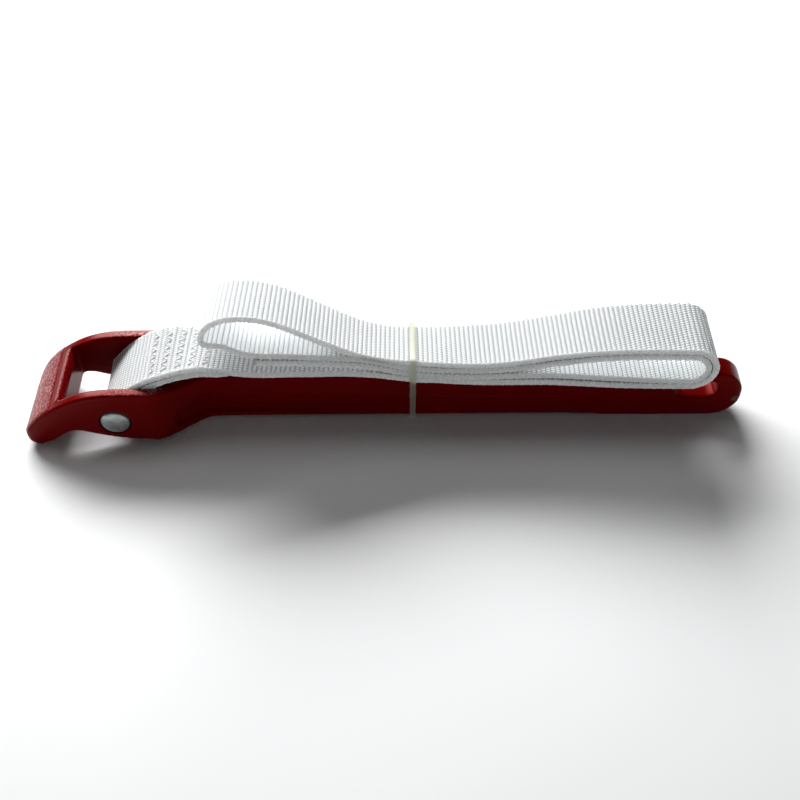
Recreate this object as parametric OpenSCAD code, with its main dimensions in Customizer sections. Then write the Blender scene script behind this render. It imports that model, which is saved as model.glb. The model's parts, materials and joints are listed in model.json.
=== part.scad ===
// Strap wrench with a forked cast handle and a woven strap, folded away and tied.
// X runs from the nose to the handle's end, Y across the head, Z up from the bench it lies on.
// The origin is on the bench, midway along the handle and on its centre plane.

/* [Handle] */
// Overall length, from the tip of the nose to the end of the handle
overall_length = 298; // [240:1:360]
// Height of the cheeks above the bench
head_height = 29.3; // [27:0.1:34]
// Thickness of each cheek of the fork
cheek_thickness = 4.4; // [3.5:0.1:6]
// Radius of the nose's near corner, seen from above
near_corner_radius = 2.5; // [1:0.1:8]
// Radius of the nose's far corner, seen from above
far_corner_radius = 9; // [3:0.1:12]
// How much further back the nose's far corner lies than its near one
nose_skew = 1.2; // [0:0.1:2]
// Length of the nose bar, from its tip to its inner lip
nose_bar_length = 17.8; // [14:0.1:20]
// Where the fork ends, from the tip of the nose
fork_length = 52.5; // [50:0.1:56]
// Height of the shank's top above the bench
shank_height = 24.8; // [20:0.1:27]
// Thickness of the shank
shank_thickness = 10.5; // [8:0.1:13]
// Depth of the recess in each side, where it is deepest at the head
recess_depth = 2.4; // [1:0.1:3.2]
// Radius along the shank's long edges
shank_edge_radius = 1.5; // [0.8:0.1:2.5]
// Rise of the shank's underside above the bench, between nose and end
arch_rise = 1.4; // [1.3:0.1:2.5]
// Length of the hang slot in the handle's end
slot_length = 18.5; // [14:0.1:24]
// Width of the hang slot
slot_width = 9.2; // [6:0.1:11]
// Metal left between the hang slot and the handle's end
slot_end_wall = 10.2; // [9:0.1:14]

/* [Rivet] */
// Diameter of the rivet that holds the strap
rivet_diameter = 6.35; // [5:0.05:8]
// Distance of the rivet from the tip of the nose
rivet_from_nose = 38.7; // [37:0.1:40]
// Height of the rivet above the bench
rivet_height = 13.2; // [12:0.1:15]
// Diameter of the rivet's factory head
rivet_head_diameter = 12; // [10:0.1:14]
// Diameter of the rivet's upset end
upset_diameter = 11.4; // [9:0.1:13]
// How far the heads stand out of their seats
rivet_head_rise = 2.2; // [1.5:0.1:3]
// Depth of the round seats under the heads
rivet_seat_depth = 1; // [0.5:0.1:1.5]
// Radial clearance between the rivet and its holes
rivet_hole_clearance = 0.03; // [0.01:0.01:0.08]

/* [Strap] */
// Width of the webbing
strap_width = 28.6; // [24:0.1:34]
// Thickness of the webbing
strap_thickness = 2.4; // [2:0.1:2.5]
// Clearance between the strap's edges and the cheeks
strap_side_gap = 0.3; // [0.2:0.05:1]
// Clearance between the strap's eye and the rivet
eye_gap = 0.3; // [0.2:0.05:0.6]
// Clearance between the strap's layers under the tie
tied_gap = 0.15; // [0.1:0.05:0.5]
// Clearance between the strap's layers where they lie loosely
loose_gap = 0.6; // [0.5:0.05:1]
// Clearance between the strap's sewn tail and the run above it
sewn_gap = 0.4; // [0.3:0.05:0.8]
// Clearance between the strap and the top of the shank
bed_gap = 0.5; // [0.4:0.05:1]
// Height of the right loop, from the shank to its crest
right_loop_height = 22; // [20:0.1:30]
// Distance of the right loop's bend from the handle's end
right_loop_inset = 15.8; // [10:0.1:30]
// Height of the left loop, from the shank to its crest
left_loop_height = 34.4; // [30:0.1:36]
// Distance of the left loop's bend from the rivet
left_loop_from_rivet = 37.6; // [36:0.1:44]
// Distance of the strap's free end from the rivet
free_end_from_rivet = 58.5; // [54:0.1:66]
// Length of the sewn overlap, from the rivet
sewn_length = 48; // [40:0.1:52]

/* [Stitching] */
// Number of sewn rows across the strap
stitch_rows = 5; // [3:1:7]
// Distance of the first row from the rivet
first_row_from_rivet = 17; // [15:0.1:20]
// Spacing of the rows
row_pitch = 5.4; // [4:0.1:6]
// Width of each zigzag row
row_width = 2.4; // [1.5:0.1:3]
// Number of stitches in a row
stitches_per_row = 12; // [6:1:16]
// Thickness of the thread
thread_thickness = 0.5; // [0.3:0.05:0.8]

/* [Cable tie] */
// Distance of the tie from the tip of the nose
tie_from_nose = 160.5; // [140:0.5:175]
// Width of the tie's band
tie_width = 2.5; // [2:0.1:4.8]
// Thickness of the tie's band
tie_thickness = 1; // [0.8:0.05:1.1]
// Clearance between the tie and what it holds
tie_gap = 0.25; // [0.1:0.05:0.3]
// Size of the tie's locking head: along the handle, along the band, and outwards
tie_head = [4.6, 4.6, 3.6];

/* [Hidden] */
$fn = 64;

nose_x = -overall_length / 2;
end_x = overall_length / 2;
head_width = strap_width + 2 * (strap_side_gap + cheek_thickness);
head_half = head_width / 2;
fork_half = head_half - cheek_thickness;
shank_half = shank_thickness / 2;
rivet_x = nose_x + rivet_from_nose;
rivet_radius = rivet_diameter / 2;
seat_plane = head_half - rivet_seat_depth;
tie_x = nose_x + tie_from_nose;
flare_start = nose_x + fork_length + 1.5;
flare_end = flare_start + 23;
end_corner_radius = 1.5;
slot_end_x = end_x - slot_end_wall;
slot_start_x = slot_end_x - slot_length;
slot_z = shank_height / 2 + 3;

// ---- curves ----
function bezier(a, b, c, d, t) =
    a * pow(1 - t, 3) + 3 * b * t * pow(1 - t, 2) + 3 * c * t * t * (1 - t) + d * pow(t, 3);
function curve(a, b, c, d, steps = 10) =
    [for (i = [0 : steps]) bezier(a, b, c, d, i / steps)];
function arc(centre, radius, from, to, steps = 12) =
    [for (i = [0 : steps])
        let (angle = from + (to - from) * i / steps)
        centre + radius * [cos(angle), sin(angle)]];
function heading(angle) = [cos(angle), sin(angle)];
function smooth_step(t) = t * t * (3 - 2 * t);

// ---- handle ----
// Outline from the side, clockwise from the lowest point of the nose
function handle_side() = concat(
    curve([nose_x + 6, 0], [nose_x + 2.5, 0], [nose_x, 2.5], [nose_x, 6.5]),
    curve([nose_x + 1.2, 8.5], [nose_x + 4, 13], [nose_x + 10, head_height - 10.5],
          [nose_x + 19, head_height - 5.4]),
    curve([nose_x + 19, head_height - 5.4], [nose_x + 25, head_height - 2],
          [nose_x + 32, head_height], [nose_x + 42, head_height]),
    curve([flare_start, head_height], [flare_start + 8, head_height],
          [flare_start + 9, shank_height], [flare_start + 18, shank_height]),
    arc([end_x - shank_height / 2, shank_height / 2], shank_height / 2, 90, -90, 24),
    curve([end_x - 42, 0], [end_x - 58, 0], [end_x - 66, arch_rise], [end_x - 84, arch_rise]),
    curve([flare_end + 14, arch_rise], [flare_end + 4, arch_rise], [flare_end, 0.8],
          [flare_end - 8, 0.8]),
    curve([flare_start + 6, 2], [flare_start + 2, 2], [nose_x + 42, 2], [nose_x + 30, 6]),
    curve([nose_x + 24, 8], [nose_x + 19, 9], [nose_x + 17, 6.6], [nose_x + 12, 2.6])
);

// Half width of the handle behind its head, at a place along X
function half_width(x) =
    let (share = min(1, max(0, (x - flare_start) / (flare_end - flare_start))))
    head_half + (shank_half - head_half) * smooth_step(share);

// One half of the outline from above: the nose's corner, the cheek, the flare and the shank
function half_outline(corner_radius, setback) = concat(
    arc([nose_x + setback + corner_radius, head_half - corner_radius], corner_radius, 180, 90),
    [for (i = [0 : 14])
        let (x = flare_start + (flare_end - flare_start) * i / 14) [x, half_width(x)]],
    arc([end_x - end_corner_radius, shank_half - end_corner_radius], end_corner_radius, 90, 0, 6)
);
function mirrored(points) = [for (i = [len(points) - 1 : -1 : 0]) [points[i].x, -points[i].y]];

module across(width) {
    rotate([90, 0, 0]) linear_extrude(width, center = true) children();
}

// Opening of the fork: its root slopes up under the strap, and narrows as the cheeks run together
module fork_opening() {
    lip_x = nose_x + nose_bar_length;
    root_x = nose_x + fork_length;
    root_half = [[nose_x, fork_half], [flare_start + 3, fork_half],
                 [flare_start + 9, 0.65 * fork_half], [flare_start + 16, 0.15 * fork_half]];
    intersection() {
        across(2 * head_width)
            polygon([[lip_x + 2, -1], [lip_x + 1.2, 8], [lip_x, shank_height - 1.5],
                     [lip_x - 0.5, head_height + 1], [flare_start + 16, head_height + 1],
                     [flare_start + 10.5, shank_height - 1], [root_x, 14], [root_x, -1]]);
        translate([0, 0, -1]) linear_extrude(head_height + 3)
            polygon(concat(root_half, mirrored(root_half)));
    }
}

// Recess in one side of the handle: even on the flare, then fading out along the shank
module side_recess() {
    near = [flare_start + 13.4, 9.5];
    far = [end_x - 87, 8];
    near_radius = 5.3;
    far_radius = 4;
    steps = 16;
    floor_line = [for (i = [0 : steps])
        let (x = near.x - near_radius + (far.x + far_radius - near.x + near_radius) * pow(i / steps, 1.6),
             fade = min(1, (far.x + far_radius - x) / (far.x - flare_end)))
        [x, half_width(x) - recess_depth * fade]];
    intersection() {
        across(3 * head_width) {
            translate(near) circle(near_radius);
            translate(far) circle(far_radius);
            polygon([near + [0, near_radius], near - [0, near_radius],
                     far - [0, far_radius], far + [0, far_radius]]);
        }
        linear_extrude(head_height)
            polygon(concat(floor_line, [[far.x + far_radius, head_half + 1],
                                        [near.x - near_radius, head_half + 1]]));
    }
}

module hang_slot() {
    radius = slot_width / 2;
    for (x = [slot_start_x + radius, slot_end_x - radius])
        translate([x, 0, slot_z]) rotate([90, 0, 0])
            cylinder(h = 2 * shank_thickness, r = radius, center = true);
    translate([(slot_start_x + slot_end_x) / 2, 0, slot_z])
        cube([slot_length - slot_width, 2 * shank_thickness, slot_width], center = true);
}

// Shank section with rounded long edges, as wide as the head up to the flare's end
module rounded_shank() {
    reach = end_x - flare_end + 1;
    inner_half = shank_half - shank_edge_radius;
    translate([flare_end, 0, 0]) rotate([90, 0, 90]) linear_extrude(reach)
        polygon(concat(
            arc([inner_half, shank_height - shank_edge_radius], shank_edge_radius, 0, 90, 6),
            arc([-inner_half, shank_height - shank_edge_radius], shank_edge_radius, 90, 180, 6),
            [[-shank_half, -1], [shank_half, -1]]));
    translate([nose_x - 1, -head_half - 1, -1])
        cube([flare_end - nose_x + 1, head_width + 2, head_height + 2]);
}

module handle() {
    color("firebrick") difference() {
        intersection() {
            across(head_width) polygon(handle_side());
            translate([0, 0, -1]) linear_extrude(head_height + 2)
                polygon(concat(half_outline(far_corner_radius, nose_skew),
                               mirrored(half_outline(near_corner_radius, 0))));
            rounded_shank();
        }
        fork_opening();
        side_recess();
        mirror([0, 1, 0]) side_recess();
        hang_slot();
        translate([rivet_x, 0, rivet_height]) rotate([90, 0, 0])
            cylinder(h = head_width + 2, r = rivet_radius + rivet_hole_clearance, center = true);
        for (side = [-1, 1])
            translate([rivet_x, side * (seat_plane + rivet_seat_depth), rivet_height])
                rotate([90, 0, 0])
                    cylinder(h = 2 * rivet_seat_depth, d = rivet_head_diameter + 0.6, center = true);
    }
}

// ---- rivet ----
// Domed head: a disc topped by part of a ball
module rivet_head(diameter) {
    rim = 0.5;
    dome = rivet_head_rise - rim;
    ball = (pow(diameter / 2, 2) + dome * dome) / (2 * dome);
    rotate_extrude()
        polygon(concat([[0, 0], [diameter / 2, 0]],
                       [for (i = [0 : 12])
                           let (angle = asin(diameter / 2 / ball) * (1 - i / 12))
                           [ball * sin(angle), rim + dome - ball + ball * cos(angle)]]));
}

module strap_rivet() {
    color("silver") translate([rivet_x, 0, rivet_height]) {
        rotate([90, 0, 0]) cylinder(h = 2 * seat_plane, r = rivet_radius, center = true);
        translate([0, -seat_plane, 0]) rotate([90, 0, 0]) rivet_head(rivet_head_diameter);
        translate([0, seat_plane, 0]) rotate([-90, 0, 0]) rivet_head(upset_diameter);
    }
}

// ---- strap ----
// The strap lies twisted on the shank: its near edge is up by this angle at each place along X
tilt_stations = [
    [rivet_x + 20, 0], [rivet_x + 36, 9.5], [rivet_x + 58, 11.5], [tie_x - 40, 13],
    [tie_x - 14, 16], [tie_x, 15], [tie_x + 26, 10.5], [tie_x + 56, 9.5],
    [end_x - 60, 5], [end_x - 40, 2.5], [end_x - 15, 0.5]
];
function tilt(x) = lookup(x, tilt_stations);
// Height of the strap's underside over the shank where it is tilted by the given angle
function bed(x) = shank_height - shank_edge_radius
    + (shank_half - shank_edge_radius) * tan(tilt(x)) + shank_edge_radius / cos(tilt(x)) + bed_gap;
function leaned(x, y, z) =
    [x, y * cos(tilt(x)) + (z - shank_height) * sin(tilt(x)),
     shank_height + (z - shank_height) * cos(tilt(x)) - y * sin(tilt(x))];

half_thickness = strap_thickness / 2;
tied_pitch = strap_thickness + tied_gap;
loose_pitch = strap_thickness + loose_gap;
sewn_pitch = strap_thickness + sewn_gap;
eye_radius = rivet_radius + eye_gap + half_thickness;
function eye_point(angle) = [rivet_x, rivet_height] + eye_radius * heading(angle);
// Centre height of a layer under the tie, counted from the shank upwards
function tied(layer) = bed(tie_x) + half_thickness + layer * tied_pitch;

left_bend_x = rivet_x + left_loop_from_rivet + half_thickness;
left_crest_z = shank_height + left_loop_height - half_thickness;
right_bend_x = end_x - right_loop_inset - half_thickness;
right_crest_z = shank_height + right_loop_height - half_thickness;
right_bed_z = bed(end_x - 28) + half_thickness;
right_radius = (right_crest_z - right_bed_z) / 2;
right_centre_x = right_bend_x - right_radius;
free_end_x = rivet_x + free_end_from_rivet;
sewn_end_x = rivet_x + sewn_length;
inner_radius = right_radius - loose_pitch;
right_middle_z = right_bed_z + right_radius;
// The open run between the tie and the right loop, and places along it
run_end_x = end_x - 60;
function open_run(share) = tie_x + share * (run_end_x - tie_x);
run_near_x = open_run(0.155);
run_quarter_x = open_run(0.335);
run_far_x = open_run(0.72);
// Heights of the layers left of the tie, the lowest run first
function stack_near(layer) = shank_height + 5.4 + layer * loose_pitch;
function stack_far(layer) = shank_height + 6.3 + layer * loose_pitch;

// Stations along the strap's centre line: [x, z, direction of travel]
tail_stations = [
    [sewn_end_x, rivet_height + 18.6, 176],
    [rivet_x + 31, rivet_height + 19.3, 181],
    [rivet_x + 15.6, rivet_height + 15.8, 210],
    concat(eye_point(322), 232),
    concat(eye_point(270), 180),
    concat(eye_point(180), 90),
    concat(eye_point(140), 50)
];
base_stations = [
    [rivet_x + 14.2, rivet_height + 15.8 + sewn_pitch, 29],
    [rivet_x + 32, rivet_height + 19.3 + sewn_pitch, -1],
    [rivet_x + 57, rivet_height + 18.3, -5],
    [tie_x - 45, stack_far(0), -2],
    [tie_x - 22, stack_near(0), -6],
    [tie_x, tied(0), -6],
    [run_near_x, bed(run_near_x) + half_thickness, -4],
    [run_quarter_x, bed(run_quarter_x) + half_thickness, -1],
    [run_far_x, bed(run_far_x) + half_thickness, -1],
    [run_end_x, bed(run_end_x) + half_thickness, -2],
    [right_centre_x, right_bed_z, 0],
    [right_bend_x, right_middle_z, 90],
    [right_centre_x, right_crest_z, 180],
    [run_end_x, right_crest_z - 1.9, 188],
    [run_far_x, tied(3) + 4.3, 191],
    [run_quarter_x, tied(3) + 0.1, 182],
    [tie_x, tied(3), 178],
    [tie_x - 28, tied(3) + 6.4, 154],
    [tie_x - 45, tied(3) + 15.2, 152],
    [left_bend_x + 12.5, left_crest_z, 180],
    [left_bend_x, left_crest_z - 9.2, 270],
    [left_bend_x + 9.5, shank_height + 20, -34],
    [tie_x - 46, stack_far(2) + 2.3, -6],
    [tie_x - 22, stack_near(2) + 0.8, -9],
    [tie_x, tied(2), -5],
    [run_quarter_x, tied(2) + 0.1, 2],
    [run_far_x, tied(2) + 3.6, 11],
    [run_end_x, right_crest_z - 1.9 - loose_pitch, 8],
    [right_centre_x, right_crest_z - loose_pitch, 0],
    [right_centre_x + inner_radius, right_middle_z, -90],
    [right_centre_x, right_bed_z + loose_pitch, -180],
    [run_far_x, bed(run_far_x) + half_thickness + loose_pitch + 0.4, -179],
    [run_quarter_x, tied(1) - 0.3, -178],
    [tie_x, tied(1), -186],
    [tie_x - 22, stack_near(1) + 0.9, -188],
    [tie_x - 45, stack_far(1) + 2.2, -183],
    [free_end_x, stack_far(1) + 3.1, -184]
];
strap_stations = concat(tail_stations, base_stations);

steps_between_stations = 7;
function between(a, b, t) =
    let (reach = 0.38 * norm([b.x - a.x, b.y - a.y]),
         start = [a.x, a.y], finish = [b.x, b.y])
    bezier(start, start + reach * heading(a.z), finish - reach * heading(b.z), finish, t);
strap_line = [
    for (i = [0 : len(strap_stations) - 2])
        for (j = [0 : steps_between_stations - 1])
            between(strap_stations[i], strap_stations[i + 1], j / steps_between_stations),
    between(strap_stations[len(strap_stations) - 2], strap_stations[len(strap_stations) - 1], 1)
];
function normal_at(line, i) =
    let (ahead = line[min(i + 1, len(line) - 1)], behind = line[max(i - 1, 0)],
         along = (ahead - behind) / norm(ahead - behind))
    [-along.y, along.x];
function strap_corner(i, across_y, off) =
    let (p = strap_line[i] + off * normal_at(strap_line, i)) leaned(p.x, across_y, p.y);

module strap() {
    half = strap_width / 2;
    count = len(strap_line);
    corners = [for (i = [0 : count - 1])
        each [strap_corner(i, -half, -half_thickness), strap_corner(i, half, -half_thickness),
              strap_corner(i, half, half_thickness), strap_corner(i, -half, half_thickness)]];
    sides = [for (i = [0 : count - 2], k = [0 : 3])
        each [[4 * i + 4 + k, 4 * i + (k + 1) % 4, 4 * i + k],
              [4 * i + 4 + k, 4 * i + 4 + (k + 1) % 4, 4 * i + (k + 1) % 4]]];
    last = 4 * (count - 1);
    ends = [[0, 1, 2], [0, 2, 3], [last + 2, last + 1, last], [last + 3, last + 2, last]];
    color("whitesmoke") polyhedron(corners, concat(sides, ends));
}

// ---- stitching ----
// One zigzag row of thread, lying along Y
module stitch_row() {
    span = strap_width - 5;
    pitch = span / stitches_per_row;
    side = row_width / 2;
    zigzag = [for (i = [0 : stitches_per_row]) [i % 2 == 0 ? -side : side, i * pitch - span / 2]];
    linear_extrude(thread_thickness)
        polygon(concat([for (p = zigzag) p - [thread_thickness / 2, 0]],
                       [for (i = [stitches_per_row : -1 : 0])
                           zigzag[i] + [thread_thickness / 2, 0]]));
}

// Samples of the two sewn runs that are nearest to a place along X
run_start = 7 * steps_between_stations;
function tail_index(x, i = 0) = strap_line[i].x <= x ? i : tail_index(x, i + 1);
function run_index(x, i = run_start) = strap_line[i].x >= x ? i : run_index(x, i + 1);

module strap_stitching() {
    lift = half_thickness + 0.15;
    color("white") for (row = [0 : stitch_rows - 1]) {
        x = rivet_x + first_row_from_rivet + row * row_pitch;
        for (i = [run_index(x), tail_index(x)]) {
            along = strap_line[i + 1] - strap_line[max(i - 1, 0)];
            p = strap_line[i] + lift * normal_at(strap_line, i);
            translate(leaned(p.x, 0, p.y)) rotate([-tilt(p.x), 0, 0])
                rotate([0, -atan2(along.y, along.x), 0]) stitch_row();
        }
    }
}

// ---- cable tie ----
// What the tie holds, cut at the tie: the four tied layers and the shank under them
module tied_section() {
    low = bed(tie_x) - shank_height;
    high = low + 3 * tied_pitch + strap_thickness;
    hull() {
        translate([-shank_half, arch_rise]) square([shank_thickness, 1]);
        translate([0, shank_height]) rotate(-tilt(tie_x))
            translate([-strap_width / 2, low]) square([strap_width, high - low]);
    }
}

module cable_tie() {
    back_low = [shank_half, arch_rise];
    back_high = leaned(tie_x, strap_width / 2, bed(tie_x));
    rise = [back_high.y, back_high.z] - back_low;
    angle = atan2(rise.y, rise.x);
    middle = back_low + 0.5 * rise;
    color("ivory") translate([tie_x, 0, 0]) {
        rotate([90, 0, 90]) linear_extrude(tie_width, center = true) difference() {
            offset(r = tie_gap + tie_thickness, $fn = 24) tied_section();
            offset(r = tie_gap, $fn = 24) tied_section();
        }
        translate([0, middle.x, middle.y]) rotate([angle, 0, 0])
            translate([-tie_head.x / 2, -tie_head.y / 2, -tie_gap - tie_thickness / 2 - tie_head.z])
                cube(tie_head);
    }
}

handle();
strap_rivet();
strap();
strap_stitching();
cable_tie();
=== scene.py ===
"""Strap wrench: a painted casting with a forked head, a riveted webbing strap folded back on it,
and the cable tie that holds the folded strap. Everything is in metres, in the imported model's frame."""
import json
import math

import bmesh
import bpy
import numpy as np
from mathutils import Matrix, Vector, noise


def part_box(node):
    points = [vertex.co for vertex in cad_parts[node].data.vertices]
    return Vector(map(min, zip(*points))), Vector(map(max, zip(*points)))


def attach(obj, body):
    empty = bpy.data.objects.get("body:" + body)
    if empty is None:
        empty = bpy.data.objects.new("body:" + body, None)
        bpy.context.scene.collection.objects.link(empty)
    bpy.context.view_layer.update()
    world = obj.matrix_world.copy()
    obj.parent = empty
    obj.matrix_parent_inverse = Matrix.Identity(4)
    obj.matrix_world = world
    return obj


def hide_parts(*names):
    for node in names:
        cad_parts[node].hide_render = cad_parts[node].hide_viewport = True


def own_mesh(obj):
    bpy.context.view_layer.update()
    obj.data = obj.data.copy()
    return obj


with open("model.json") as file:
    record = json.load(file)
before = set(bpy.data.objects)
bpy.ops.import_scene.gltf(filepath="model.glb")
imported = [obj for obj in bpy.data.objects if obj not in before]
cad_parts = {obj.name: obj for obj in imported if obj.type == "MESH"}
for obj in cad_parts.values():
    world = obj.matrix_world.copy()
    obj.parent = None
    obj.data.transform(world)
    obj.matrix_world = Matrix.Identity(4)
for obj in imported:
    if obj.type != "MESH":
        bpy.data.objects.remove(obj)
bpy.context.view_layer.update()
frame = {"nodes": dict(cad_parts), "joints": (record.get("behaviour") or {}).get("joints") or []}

MM = 0.001

# ---- sizes from the frame
handle_low, handle_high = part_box("handle")
nose_x, end_x = handle_low.x, handle_high.x
head_half = handle_high.y
swing = frame["joints"][0]
rivet_x, rivet_z = swing["pos_m"][0], swing["pos_m"][2]
tie_low, tie_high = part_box("cable_tie")
tie_x = (tie_low.x + tie_high.x) / 2

# ---- sizes of the handle and rivet
shank_top = 24.8 * MM
shank_half = 5.25 * MM
shank_edge = 1.5 * MM
arch_rise = 1.4 * MM
fork_half = 14.6 * MM
seat_plane = 18.0 * MM
bar_length = 17.8 * MM
recess_depth = 2.4 * MM
rivet_radius = 3.175 * MM
factory_head_radius = 6.0 * MM
upset_head_radius = 5.7 * MM
head_rise = 2.2 * MM

# ---- sizes of the strap
strap_width = 28.6 * MM
strap_thickness = 2.4 * MM
half_thickness = strap_thickness / 2
eye_gap = 0.3 * MM
bed_gap = 0.5 * MM
tied_pitch = strap_thickness + 0.15 * MM
loose_pitch = strap_thickness + 0.6 * MM
sewn_pitch = strap_thickness + 0.4 * MM
rib_pitch = 1.92 * MM
bead_pitch = 1.3 * MM
stitch_rows = 5
first_row = 17 * MM
row_pitch = 5.4 * MM
row_width = 2.4 * MM
stitches_per_row = 12
row_margin = 2.5 * MM
stitch_step = (strap_width - 2 * row_margin) / stitches_per_row
sewn_length = 48 * MM


# ==== working by hand
def clear_selection():
    """Leaves edit mode and selects nothing."""
    if bpy.context.object and bpy.context.object.mode != "OBJECT":
        bpy.ops.object.mode_set(mode="OBJECT")
    bpy.ops.object.select_all(action="DESELECT")


def activate(piece):
    """Makes one piece the only selected and the active one."""
    clear_selection()
    piece.select_set(True)
    bpy.context.view_layer.objects.active = piece


def new_object(name, data):
    """Adds an object to the scene."""
    made = bpy.data.objects.new(name, data)
    bpy.context.scene.collection.objects.link(made)
    return made


def new_piece(name, operator, **settings):
    """Adds a primitive by its operator and names it."""
    clear_selection()
    operator(**settings)
    piece = bpy.context.object
    piece.name = name
    piece.data.name = name
    return piece


def apply_modifier(piece, kind, **settings):
    """Adds a modifier, sets it up and applies it."""
    activate(piece)
    modifier = piece.modifiers.new(kind.lower(), kind)
    for key, value in settings.items():
        setattr(modifier, key, value)
    bpy.ops.object.modifier_apply(modifier=modifier.name)


def bevel_edges(piece, width, segments, angle):
    """Rounds the edges that turn by more than an angle in degrees."""
    apply_modifier(piece, "BEVEL", width=width, segments=segments, limit_method="ANGLE",
                   angle_limit=math.radians(angle))


def settle(piece):
    """Moves a piece's place and turn into its mesh, so that its object sits at the origin."""
    activate(piece)
    bpy.ops.object.transform_apply(location=True, rotation=True, scale=True)


def edit_faces(piece, wanted):
    """Opens a piece in edit mode with the faces selected for which wanted(centre, normal) holds."""
    activate(piece)
    bpy.ops.object.mode_set(mode="EDIT")
    bpy.ops.mesh.select_mode(type="FACE")
    bpy.ops.mesh.select_all(action="DESELECT")
    mesh = bmesh.from_edit_mesh(piece.data)
    for face in mesh.faces:
        face.select_set(wanted(face.calc_center_median(), face.normal))
    bmesh.update_edit_mesh(piece.data)


def leave_edit():
    """Goes back to object mode."""
    bpy.ops.object.mode_set(mode="OBJECT")


def outward(piece):
    """Turns every face of a piece outwards."""
    edit_faces(piece, lambda centre, normal: True)
    bpy.ops.mesh.normals_make_consistent(inside=False)
    leave_edit()


def join(pieces, name):
    """Joins pieces into the first of them."""
    clear_selection()
    for piece in pieces:
        piece.select_set(True)
    bpy.context.view_layer.objects.active = pieces[0]
    bpy.ops.object.join()
    pieces[0].name = name
    return pieces[0]


def smooth_faces(piece, angle=None):
    """Shades a piece smooth, all over or only where faces meet at less than an angle in degrees."""
    activate(piece)
    if angle is None:
        bpy.ops.object.shade_smooth()
    else:
        bpy.ops.object.shade_smooth_by_angle(angle=math.radians(angle))


def drop(piece):
    bpy.data.objects.remove(piece)


def points_of(mesh):
    """A mesh's vertices as an array."""
    places = np.zeros(len(mesh.vertices) * 3, np.float32)
    mesh.vertices.foreach_get("co", places)
    return places.reshape(-1, 3).astype(float)


def normals_of(mesh):
    """A mesh's vertex normals as an array."""
    normals = np.zeros(len(mesh.vertices) * 3, np.float32)
    mesh.vertex_normals.foreach_get("vector", normals)
    return normals.reshape(-1, 3).astype(float)


def put_points(mesh, places):
    mesh.vertices.foreach_set("co", places.astype(np.float32).ravel())
    mesh.update()


def paint_attribute(mesh, name, values):
    """Stores one number for each vertex, for a material to read."""
    layer = mesh.attributes.new(name, "FLOAT", "POINT")
    layer.data.foreach_set("value", np.asarray(values, np.float32))


def ease(low, high, value):
    """0 below low, 1 above high, and smooth between them."""
    share = np.clip((value - low) / (high - low), 0, 1)
    return share * share * (3 - 2 * share)


def noise_at(places, size, seed=0.0):
    """Smooth noise from -1 to 1 at each place, with features of the given size."""
    shift = Vector((seed, 2 * seed, -seed))
    return np.array([noise.noise(Vector(p) / size + shift) for p in places])


# ==== material nodes
def fill_socket(tree, socket, value):
    """Links another node's output to a socket, or sets a plain value on it."""
    if isinstance(value, bpy.types.NodeSocket):
        tree.links.new(value, socket)
    else:
        socket.default_value = value


def add_node(tree, kind, inputs=None, **settings):
    """Adds a node with its settings, and fills its sockets."""
    made = tree.nodes.new(kind)
    for key, value in settings.items():
        setattr(made, key, value)
    for key, value in (inputs or {}).items():
        fill_socket(tree, made.inputs[key], value)
    return made


def maths(tree, operation, first, second=0.0):
    return add_node(tree, "ShaderNodeMath", {0: first, 1: second}, operation=operation).outputs[0]


def ramp(tree, value, low, high):
    """0 below low and 1 above high, smoothly."""
    made = add_node(tree, "ShaderNodeMapRange", {"Value": value, "From Min": low, "From Max": high},
                    interpolation_type="SMOOTHSTEP")
    return made.outputs[0]


def blend_colours(tree, share, first, second):
    """The first colour where the share is 0, and the second where it is 1."""
    return add_node(tree, "ShaderNodeMix", {0: share, 6: first, 7: second}, data_type="RGBA").outputs[2]


def noise_node(tree, place, scale, detail=2.0, rough=0.5):
    made = add_node(tree, "ShaderNodeTexNoise",
                    {"Vector": place, "Scale": scale, "Detail": detail, "Roughness": rough})
    return made.outputs[0]


def object_place(tree):
    return add_node(tree, "ShaderNodeTexCoord").outputs["Object"]


def attribute(tree, name):
    return add_node(tree, "ShaderNodeAttribute", attribute_name=name).outputs["Fac"]


def new_material(name):
    """A material with an empty Principled shader, and its tree."""
    material = bpy.data.materials.new(name)
    material.use_nodes = True
    tree = material.node_tree
    tree.nodes.clear()
    shader = tree.nodes.new("ShaderNodeBsdfPrincipled")
    output = tree.nodes.new("ShaderNodeOutputMaterial")
    tree.links.new(shader.outputs[0], output.inputs[0])
    return material, tree, shader


def feed(tree, shader, **sockets):
    """Fills a shader's sockets; an underscore in a name stands for a space."""
    for key, value in sockets.items():
        fill_socket(tree, shader.inputs[key.replace("_", " ")], value)


def bump(tree, shader, height, depth):
    """Bump of the given depth in metres on the shader's normal."""
    made = add_node(tree, "ShaderNodeBump", {"Height": height, "Distance": depth, "Strength": 1.0})
    tree.links.new(made.outputs[0], shader.inputs["Normal"])


def give_material(piece, material):
    """Gives a piece its material."""
    piece.data.materials.clear()
    piece.data.materials.append(material)


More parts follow.
